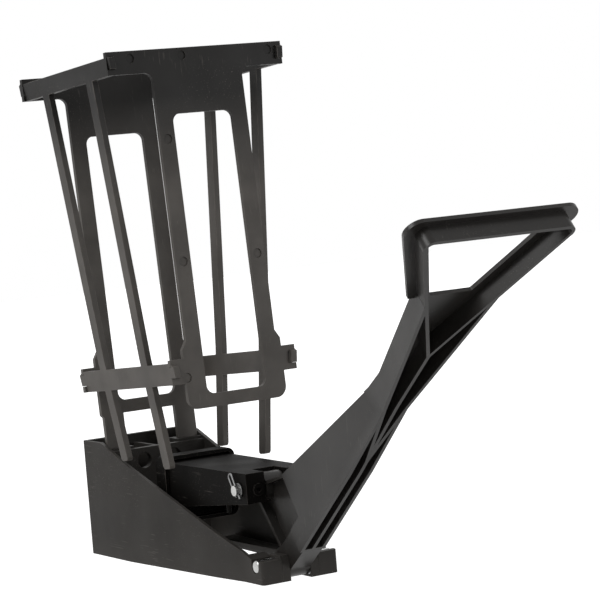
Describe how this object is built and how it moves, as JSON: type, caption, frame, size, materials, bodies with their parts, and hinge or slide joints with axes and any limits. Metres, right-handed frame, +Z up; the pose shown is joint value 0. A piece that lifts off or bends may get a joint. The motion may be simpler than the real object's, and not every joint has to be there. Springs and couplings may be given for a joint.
{
  "type": "lever can crusher",
  "caption": "Wall-mounted lever can crusher: a leaning open-frame magazine feeds cans into a wedge-shaped housing where a crank-driven ram flattens them.",
  "frame": {"origin": "centre of the wall screw pattern, on the back face of the housing", "axes": "+X away from the wall towards the lever, +Y to the right seen from the wall looking out, +Z up"},
  "size_m": [0.5569, 0.156, 0.4096],
  "materials": {
    "housing_plastic": "moulded black plastic, fine texture",
    "panel_plastic": "moulded black plastic, satin",
    "ram_plastic": "moulded black plastic, slightly worn",
    "lever_plastic": "moulded black plastic, satin",
    "bush_nylon": "natural nylon",
    "bright_steel": "bright drawn steel",
    "zinc_steel": "zinc plated steel"
  },
  "bodies": {
    "base": {"housing": "housing_plastic", "pivot_rod": "bright_steel", "left_rod_keeper": "housing_plastic", "right_rod_keeper": "housing_plastic", "left_keeper_screws": "zinc_steel", "right_keeper_screws": "zinc_steel", "leg_screws": "zinc_steel", "front_panel": "panel_plastic", "back_panel": "panel_plastic", "left_side_panel": "panel_plastic", "right_side_panel": "panel_plastic"},
    "lever_arm": {"lever": "lever_plastic", "left_hub_bush": "bush_nylon", "right_hub_bush": "bush_nylon", "crank_bush": "bush_nylon"},
    "ram": {"ram_body": "ram_plastic", "crush_plate": "ram_plastic", "plate_screws": "zinc_steel", "clevis_pin": "bright_steel", "left_pin_washer": "bright_steel", "right_pin_washer": "bright_steel", "hairpin_cotter": "bright_steel"}
  },
  "joints": [
    {"name": "lever_swing", "type": "hinge", "parent": "base", "child": "lever_arm", "pos_m": [0.249, 0, -0.0345], "axis": [0, -1, 0], "range_deg": [-80, 30]},
    {"name": "ram_pivot", "type": "hinge", "parent": "lever_arm", "child": "ram", "pos_m": [0.223, 0, 0.0215], "axis": [0, -1, 0], "range_deg": [-30, 80]}
  ],
  "couplings": [
    {"joint": "ram_pivot", "follows": "lever_swing", "ratio": -1}
  ]
}
